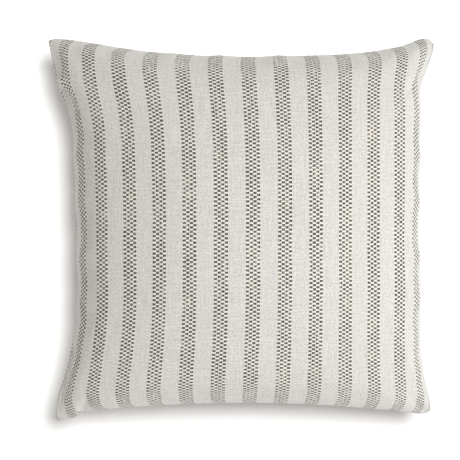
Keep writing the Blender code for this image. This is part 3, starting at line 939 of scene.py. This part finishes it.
# %% Tapes
ZIP_LENGTH = 0.352
TAPE_LENGTH = 0.376
TAPE_WIDTH = 0.010
TAPE_WALL = 0.0005
TAPE_LEAN = np.radians(18)
COIL_RADIUS = 0.0006
COIL_HALF_SPACING = 0.0014
COIL_DEPTH = 0.0024
TAPE_FIRST = 0.00235
TAPE_WAVE = 0.00015
TAPE_WAVE_LENGTH = 0.023
EDGE_ANGLE = np.radians(50)


def tape_sheet(side):
    """A strip from the spiral's edge into the pillow, leaning in, with a slightly wavy outer edge."""
    along, across = np.meshgrid(np.linspace(-0.5, 0.5, 260) * TAPE_LENGTH, np.linspace(0, 1, 9))
    wave = TAPE_WAVE * np.sin(along * 2 * np.pi / TAPE_WAVE_LENGTH) * across ** 2
    depth = COIL_DEPTH + np.sin(TAPE_LEAN) * TAPE_WIDTH * across + wave
    height = side * (TAPE_FIRST + np.cos(TAPE_LEAN) * TAPE_WIDTH * across)
    middle = along_arc(along, depth, height)
    return closed_sheet(middle if side < 0 else middle[::-1], TAPE_WALL)


for name, side in SIDES:
    mesh = make_mesh(f"tape_{name}", *tape_sheet(side))
    mesh.set_sharp_from_angle(angle=EDGE_ANGLE)
    add_piece(mesh.name, mesh, twill, f"zip_tape_{name}")

# %% Spirals
WIRE_RADIUS = 0.00021
TURN_PITCH = 0.00125
STEPS_PER_TURN = 12
STOP_LENGTH = 0.003
STOP_GAP = 0.0003
COIL_LENGTH = ZIP_LENGTH - 2 * (STOP_LENGTH + STOP_GAP)


def spiral(side):
    """A helix bent along the arc: (depth, height) go round a small circle once per turn."""
    count = int(COIL_LENGTH / TURN_PITCH * STEPS_PER_TURN)
    along = np.linspace(-0.5, 0.5, count) * COIL_LENGTH
    angle = along / TURN_PITCH * 2 * np.pi
    radius = COIL_RADIUS - WIRE_RADIUS
    height = side * COIL_HALF_SPACING
    centre = along_arc(along, COIL_DEPTH, height)
    path = along_arc(along, COIL_DEPTH + radius * np.cos(angle), height + radius * np.sin(angle))
    return tube(path, path - centre, WIRE_RADIUS, 6)


for name, side in SIDES:
    add_piece(f"spiral_{name}", spiral(side), nylon, f"zip_coil_{name}")


# %% [markdown]
# ## Zip metal
# Stops, slider and pull are small die castings, dipped in cream lacquer. A casting has no sharp
# edge, so each block is a box whose surface is a clamped core plus a small radius all round.

# %% Rounded blocks
def rounded_block(low, high, radius, cells=6):
    """A box with round edges: each point is clamped to a smaller core, then pushed out by the radius."""
    low, high = np.array(low), np.array(high)
    half = (high - low) / 2
    radius = min(radius, half.min() * 0.98)
    t = np.sin(np.linspace(-1, 1, cells + 1) * np.pi / 2)
    a, b = np.meshgrid(t, t)
    sheets = []
    for axis in range(3):
        for end in (-1, 1):
            face = np.stack([a, b], -1) if end > 0 else np.stack([b, a], -1)
            sheets.append(np.roll(np.dstack([np.full_like(a, end), face]), axis, axis=2))
    cube = np.stack(sheets).reshape(-1, 3)
    core = np.clip(cube * half, -(half - radius), half - radius)
    way = cube * half - core
    reach = np.linalg.norm(way, axis=1, keepdims=True)
    points = (low + high) / 2 + core + way / np.maximum(reach, 1e-9) * radius
    quads = grid_quads(np.arange((cells + 1) ** 2).reshape(cells + 1, -1))
    faces = np.concatenate([quads + number * (cells + 1) ** 2 for number in range(6)])
    _, first, same = np.unique(np.round(cube, 6), axis=0, return_index=True, return_inverse=True)
    return points[first], same.reshape(-1)[faces].tolist()


def at_arc(place, part):
    """Turns a block drawn as (along, depth, height) about a place on the arc."""
    points, faces = part
    return along_arc(place, 0.0, 0.0) + turned(points, place), faces


def turned(points, place):
    """Turns (along, depth, height) by the arc's angle at a place: x cos + y sin, y cos - x sin."""
    angle = place / ZIP_RADIUS
    x = points[:, 0] * np.cos(angle) + points[:, 1] * np.sin(angle)
    y = points[:, 1] * np.cos(angle) - points[:, 0] * np.sin(angle)
    return np.stack([x, y, points[:, 2]], -1)


# %% Stops
STOP_HALF_DEPTH = 0.0008
STOP_LOW = 0.0008
STOP_HIGH = 0.0020
TOP_STOP_ROUND = 0.0004
BOTTOM_STOP_ROUND = 0.0005


def stop(start, end, low, high, radius):
    """A block across the spirals' depth, from start to end along the zip."""
    near, far = COIL_DEPTH - STOP_HALF_DEPTH, COIL_DEPTH + STOP_HALF_DEPTH
    return rounded_block((start, near, low), (end, far, high), radius)


for name, side in SIDES:
    low, high = sorted((side * STOP_LOW, side * STOP_HIGH))
    shape = at_arc(-ZIP_LENGTH / 2, stop(0, STOP_LENGTH, low, high, TOP_STOP_ROUND))
    add_piece(f"top_stop_{name}", shape, enamel, f"zip_top_stop_{name}")
shape = at_arc(ZIP_LENGTH / 2, stop(-STOP_LENGTH, 0, -STOP_HIGH, STOP_HIGH, BOTTOM_STOP_ROUND))
add_piece("bottom_stop", shape, enamel, "zip_bottom_stop")

# %% Slider and pull
SLIDER_PLACE = -0.1682
SLIDER_HALF = 0.0045
PLATE = 0.0011
SLIDER_TALL = 0.0030
OUTER_FACE = 0.0003
INNER_FACE = 0.0034
POST_HALF = (0.0025, 0.0005)
BRIDGE_OUT = -0.0010
BRIDGE_TOP = -0.0018
BRIDGE_HALF = 0.0031
BRIDGE_SIDE = 0.0007
BRIDGE_LEG = 0.0009
PIN_DEPTH = -0.00035
PULL_LENGTH = 0.0225
PULL_HALF = 0.0026
PULL_HALF_THICK = 0.00035
ARM_LOW = 0.0010
ARM_HIGH = 0.0018
NECK = 0.0050
PLATE_ROUND = 0.0005
POST_ROUND = 0.0002
BRIDGE_ROUND = 0.0004
PULL_ROUND = 0.0003
FINE_ROUND = 10


def slider_parts():
    """Outer plate, inner plate, the post between them, and the pull's bridge on its two legs."""
    bite = PLATE / 4
    tall, half, leg = SLIDER_TALL, SLIDER_HALF, BRIDGE_HALF - BRIDGE_LEG
    for face in (OUTER_FACE, INNER_FACE):
        yield rounded_block((-half, face, -tall), (half, face + PLATE, tall), PLATE_ROUND, FINE_ROUND)
    yield rounded_block((-POST_HALF[0], OUTER_FACE + PLATE - bite, -POST_HALF[1]),
                        (POST_HALF[0], INNER_FACE + bite, POST_HALF[1]), POST_ROUND)
    yield rounded_block((-BRIDGE_HALF, BRIDGE_TOP, -BRIDGE_SIDE),
                        (BRIDGE_HALF, BRIDGE_OUT, BRIDGE_SIDE), BRIDGE_ROUND, 8)
    for low, high in ((-BRIDGE_HALF, -leg), (leg, BRIDGE_HALF)):
        yield rounded_block((low, BRIDGE_OUT - bite, -BRIDGE_SIDE),
                            (high, OUTER_FACE + bite, BRIDGE_SIDE), PULL_ROUND)


def pull_parts():
    """A thin tab on two arms, with a pin through the bridge."""
    thin, under, over = PULL_HALF_THICK, PIN_DEPTH - PULL_HALF_THICK, PIN_DEPTH + PULL_HALF_THICK
    yield rounded_block((NECK, under, -PULL_HALF), (PULL_LENGTH, over, PULL_HALF), PULL_ROUND, FINE_ROUND)
    yield rounded_block((-thin, under, -ARM_HIGH), (thin, over, ARM_HIGH), PULL_ROUND)
    for low, high in ((ARM_LOW, ARM_HIGH), (-ARM_HIGH, -ARM_LOW)):
        yield rounded_block((-thin, under, low), (NECK + 2 * thin, over, high), PULL_ROUND)


shape = at_arc(SLIDER_PLACE, joined(list(slider_parts())))
add_piece("slider_body", shape, enamel, "zip_slider", "slider")
shape = at_arc(SLIDER_PLACE, joined(list(pull_parts())))
add_piece("pull_tab", shape, enamel, "zip_pull", "pull")


# %% [markdown]
# ## Thread
# The seam is a lockstitch: a thread that sinks into the cloth once per stitch. The raw edges
# behind it are bound by an overlock, whose thread loops round them. Both run round the three
# sewn sides, and stop short of the sharp corners. A plain running thread holds each zip tape.

# %% Thread paths
STITCH = 0.003
SEWN_PAST_SLIT = 0.018
CORNER_REACH = 0.85
SEAM_THREAD_INSET = 0.00175
OVERLOCK_INSET = 0.0030
INSERT_INSET = 0.009
UP = np.array([0, 0, 1.0])


def run(x, y):
    """Points of a seam as one path at the seam's height."""
    return np.stack([x, y, np.full_like(x, SEAM_HEIGHT)], -1)


def sewn_path(inset):
    """Up the right seam, over the top and down the left, from one end of the zip's slit to the other."""
    left, right = corners(inset)[:2]
    past = SLIT_LENGTH / 2 + SEWN_PAST_SLIT
    centre, half = (right[0] + left[0]) / 2, (right[0] - left[0]) / 2
    first, last = (past - centre) / half, (-past - centre) / half
    reach = np.sin(CORNER_REACH * np.pi / 2)
    t = np.linspace(-reach, reach, 60)
    parts = [
        run(*bottom_seam(np.linspace(first, (first + 1) / 2, 5), inset)),
        run(*right_seam(t, inset)),
        run(*top_seam(t[::-1], inset)),
        run(*left_seam(t[::-1], inset)),
        run(*bottom_seam(np.linspace((last - 1) / 2, last, 5), inset)),
    ]
    return np.concatenate(parts)


def even(path, step):
    """The same path with points an even step apart, by its running length."""
    length = np.concatenate([[0], np.cumsum(np.linalg.norm(np.diff(path, axis=0), axis=1))])
    at = np.linspace(0, length[-1], int(length[-1] / step) + 1)
    return np.stack([np.interp(at, length, path[:, k]) for k in range(3)], -1), at


def stitched(path, radius, stitch=STITCH):
    """A tube that thins where each stitch sinks: r (0.6 + 0.4 |sin(pi l / stitch)|)."""
    points, at = even(path, stitch / 6)
    thick = radius * (0.6 + 0.4 * abs(np.sin(np.pi * at / stitch)))
    return tube(points, UP, thick, 6)


def looped(path, radius, wire, pitch):
    """A thread that winds round a path once per pitch."""
    points, at = even(path, pitch / 10)
    ahead = np.gradient(points, axis=0)
    across = np.cross(UP, ahead)
    across /= np.linalg.norm(across, axis=1, keepdims=True)
    angle = (at / pitch * 2 * np.pi)[:, None]
    way = np.cos(angle) * across + np.sin(angle) * UP
    return tube(points + way * (radius - wire), way, wire, 5)


# %% Threads
SEAM_THREAD = 0.00025
OVERLOCK_LOOP = 0.0004
OVERLOCK_THREAD = 0.00011
OVERLOCK_PITCH = 0.0022
ZIP_THREAD = 0.0003
ZIP_STITCH_DEPTH = 0.00195
ZIP_STITCH_HEIGHT = 0.0049


def twisted_thread():
    """Cotton thread: fine slanting plies, painted lighter on top and with painted shade between them, and a
    soft fuzzy sheen.
    """
    thread, node = new_material("ecru_cotton_thread")
    x, y, z = node("SeparateXYZ", node("TexCoord", out="Object")).node.outputs
    slant = node("ADD", node("ADD", x, y), node("MULTIPLY", z, 2.0))
    ply = node("SINE", node("MULTIPLY", slant, 9000.0))
    # Painted light and shade: each ply is coloured darker in the groove between plies and lighter on top.
    painted_ridge_light = node("MapRange", ply, -1.0, 0.5, **SMOOTH)
    colour = node("Mix", painted_ridge_light, linear("#a8a190"), linear("#d2ccbd"), **COLOUR)
    bump = node("Bump", Strength=0.3, Distance=0.00005, Height=ply)
    return finish(thread, Base_Color=colour, Normal=bump, Roughness=0.75, Sheen_Weight=0.2)


thread = twisted_thread()
shape = stitched(sewn_path(SEAM_THREAD_INSET), SEAM_THREAD)
add_piece("seam_thread", shape, thread, "cover_seam_thread")
shape = looped(sewn_path(OVERLOCK_INSET), OVERLOCK_LOOP, OVERLOCK_THREAD, OVERLOCK_PITCH)
add_piece("overlock_thread", shape, thread, "cover_overlock_thread")
for name, side in SIDES:
    along = np.linspace(-0.5, 0.5, 80) * TAPE_LENGTH
    path = along_arc(along, ZIP_STITCH_DEPTH, side * ZIP_STITCH_HEIGHT)
    shape = stitched(path, ZIP_THREAD)
    add_piece(f"tape_stitches_{name}", shape, thread, f"zip_stitching_{name}")


# %% [markdown]
# ## The insert
# Inside is a bag of plain, tightly woven ticking, a little smaller than the cover, with a seam
# all round, a hand-closed gap at the top where it was filled, and a blank satin label. The
# filling is one soft mass that swells wherever the bag lets it, so it gets low rounded lumps.

# %% Ticking and filling
INSERT_DROP = 0.0034
TICKING_WALL = 0.0005
TICKING_THREAD = 0.5
FILLING_DROP = 0.0052
FILLING_INSET = 0.0125
SOFT_CELLS = 120
QUILL_LUMP = 0.0012


def ticking_cloth():
    """Plain downproof cotton: a very fine even weave, its low crossings painted darker as painted shade,
    with a slight shine from pressing.
    """
    ticking, node = new_material("downproof_cotton_ticking")
    across, up, _ = flat_cloth(node)
    turn = 2 * np.pi / TICKING_THREAD
    cell = node("MULTIPLY", node("SINE", node("MULTIPLY", across, turn)),
                node("SINE", node("MULTIPLY", up, turn)))
    slow = node("CombineXYZ", node("MULTIPLY", across, 0.02), node("MULTIPLY", up, 0.02), 0.0)
    # Painted shade: the weave's low crossings are coloured a little darker and its high ones lighter. The
    # slow noise is the cloth's own tone.
    tone = node("ADD", node("MULTIPLY", cell, 0.15), node("TexNoise", slow, 1.0))
    tone = node("MapRange", tone, 0.2, 0.8, **SMOOTH)
    colour = node("Mix", tone, linear("#d6d4cc"), linear("#e6e4de"), **COLOUR)
    bump = node("Bump", Strength=0.25, Distance=0.0001, Height=cell)
    return finish(ticking, Base_Color=colour, Normal=bump, Roughness=0.7)


def feather_mass():
    """Feathers pressed together: pale tufts with faint warm shadows between them."""
    fluff, node = new_material("pressed_white_feathers")
    place = node("TexCoord", out="Object")
    tufts = node("TexVoronoi", place, 70.0, feature="SMOOTH_F1")
    barbs = node("TexNoise", place, 600.0, 4.0)
    tone = node("ADD", tufts, node("MULTIPLY", barbs, 0.5))
    shade = node("MapRange", tone, 0.4, 1.1, **SMOOTH)
    colour = node("Mix", shade, linear("#f1eee6"), linear("#cfc8b9"), **COLOUR)
    bump = node("Bump", Strength=0.7, Distance=0.0015, Height=tone)
    return finish(fluff, Base_Color=colour, Normal=bump, Roughness=0.95, Sheen_Weight=0.3)


def soft_points(inset, drop, side):
    """The cover's own dome, smooth, further in and lower."""
    t = np.linspace(-1, 1, SOFT_CELLS + 1)
    u, v = np.meshgrid(t, t)
    return u, v, dome(u, v, inset=inset, drop=drop, side=side, over_zip=False)


def ticking_shell(name, side):
    """One panel of the insert's bag, closed at the seam."""
    u, v, outer = soft_points(INSERT_INSET, INSERT_DROP, side)
    points = outer.reshape(-1, 3)
    index = np.arange(u.size).reshape(u.shape)
    faces = grid_quads(index)
    faces = faces if side > 0 else faces[:, ::-1]
    normals = point_normals(points, faces)
    inner = points - normals * TICKING_WALL
    inner[:, 2] = SEAM_HEIGHT + side * np.maximum(side * (inner[:, 2] - SEAM_HEIGHT), SEAM_HALF_GAP)
    rim = rim_of(index)
    hem = band_faces(rim, rim + u.size)
    hem = hem if side > 0 else hem[:, ::-1]
    faces = np.concatenate([faces, faces[:, ::-1] + u.size, hem])
    mesh = make_mesh(name, np.concatenate([points, inner]), faces)
    flat = np.stack([u, v], -1).reshape(-1, 2) * FLAT_HALF_MM
    store_flat(mesh, np.concatenate([flat, flat]), side, u.size)
    return mesh


def filling_shell():
    """Front and back sheets that share their edge, dented by a sum of slow waves."""
    u, v, front = soft_points(FILLING_INSET, FILLING_DROP, 1)
    _, _, back = soft_points(FILLING_INSET, FILLING_DROP, -1)
    lumps = np.sin(u * 19 + 2 * np.sin(v * 7)) * np.sin(v * 17 + 2 * np.sin(u * 8))
    lumps = QUILL_LUMP * (lumps - 1) * (1 - u ** 2) * (1 - v ** 2)
    front[..., 2] += lumps
    back[..., 2] -= lumps
    front[..., 2] = np.maximum(front[..., 2], SEAM_HEIGHT)
    back[..., 2] = np.minimum(back[..., 2], SEAM_HEIGHT)
    index = np.arange(u.size).reshape(u.shape)
    inner = np.zeros(u.shape, bool)
    inner[1:-1, 1:-1] = True
    under = index.copy()
    under[inner] = u.size + np.arange(inner.sum())
    front[~inner, 2] = SEAM_HEIGHT
    points = np.concatenate([front.reshape(-1, 3), back[inner]])
    return points, np.concatenate([grid_quads(index), grid_quads(under)[:, ::-1]])


ticking = ticking_cloth()
for name, side in SIDES:
    shell = ticking_shell(f"ticking_{name}", side)
    piece = add_piece(shell.name, shell, ticking, f"insert_{name}_ticking")
piece = add_piece("feathers", filling_shell(), feather_mass(), "filling")


# %% Insert threads
INSERT_SEAM_INSET = 0.0103
INSERT_THREAD = 0.0002
CLOSING_INSET = 0.0085
CLOSING_HALF = 0.075


def outline(inset, count=120):
    """All four seams as one closed path."""
    t = np.linspace(-1, 1, count)[:-1]
    parts = [bottom_seam(t, inset), right_seam(t, inset), top_seam(-t, inset), left_seam(-t, inset)]
    return np.concatenate([run(*part) for part in parts])


shape = tube(outline(INSERT_SEAM_INSET), UP, INSERT_THREAD, 6, closed=True)
add_piece("insert_seam", shape, thread, "insert_seam_thread")
closing_t = np.linspace(-1, 1, 40) * CLOSING_HALF / (WIDTH / 2)
shape = stitched(run(*top_seam(closing_t, CLOSING_INSET)), INSERT_THREAD)
add_piece("closing_stitches", shape, thread, "insert_closing_stitch")


# %% [markdown]
# ## Labels
# A care label is caught in the cover's left seam on the inside, and a smaller one in the
# insert's. They are cut from satin ribbon, so they have woven edges, a slight curl and no words.

# %% Labels
LABEL_WALL = 0.0003
LABEL_CURL = 0.0003


def satin_ribbon():
    """Satin: long floats lie along the ribbon, so it has fine lines and a shine."""
    satin, node = new_material("white_satin_ribbon")
    z = node("SeparateXYZ", node("TexCoord", out="Object")).node.outputs["Z"]
    floats = node("TexNoise", node("CombineXYZ", 0.0, 0.0, node("MULTIPLY", z, 6000.0)), 1.0)
    colour = node("Mix", floats, linear("#dcdcd8"), linear("#f2f2ee"), **COLOUR)
    bump = node("Bump", Strength=0.3, Distance=0.00004, Height=floats)
    return finish(satin, Base_Color=colour, Normal=bump, Roughness=0.38, Anisotropic=0.5)


def label_sheet(seam, t, inset, low, length, height, lean, inward):
    """A rectangle standing on the seam's tangent at t, leaning inwards, its top edge gently curled."""
    here, ahead = run(*seam(np.array([t, t + 0.01]), inset))
    along = (ahead - here) / np.linalg.norm(ahead - here)
    rise = inward * np.sin(lean) + np.array([0, 0, np.cos(lean)])
    across, up = np.meshgrid(np.linspace(-0.5, 0.5, 25), np.linspace(0, 1, 13))
    curl = LABEL_CURL * np.sin(np.pi * up) * np.cos(np.pi * across)
    middle = here + across[..., None] * length * along + up[..., None] * height * rise
    middle = middle + curl[..., None] * inward
    middle[..., 2] += low
    return closed_sheet(middle, LABEL_WALL)


satin = satin_ribbon()
to_right = np.array([1.0, 0, 0])
shape = label_sheet(left_seam, -0.35, 0.00205, 0.0007, 0.030, 0.0165, np.radians(12), to_right)
add_piece("care_ribbon", shape, satin, "care_label")
shape = label_sheet(right_seam, -0.2, 0.0084, -0.001, 0.040, 0.013, 0.0, -to_right)
add_piece("insert_ribbon", shape, satin, "insert_label")
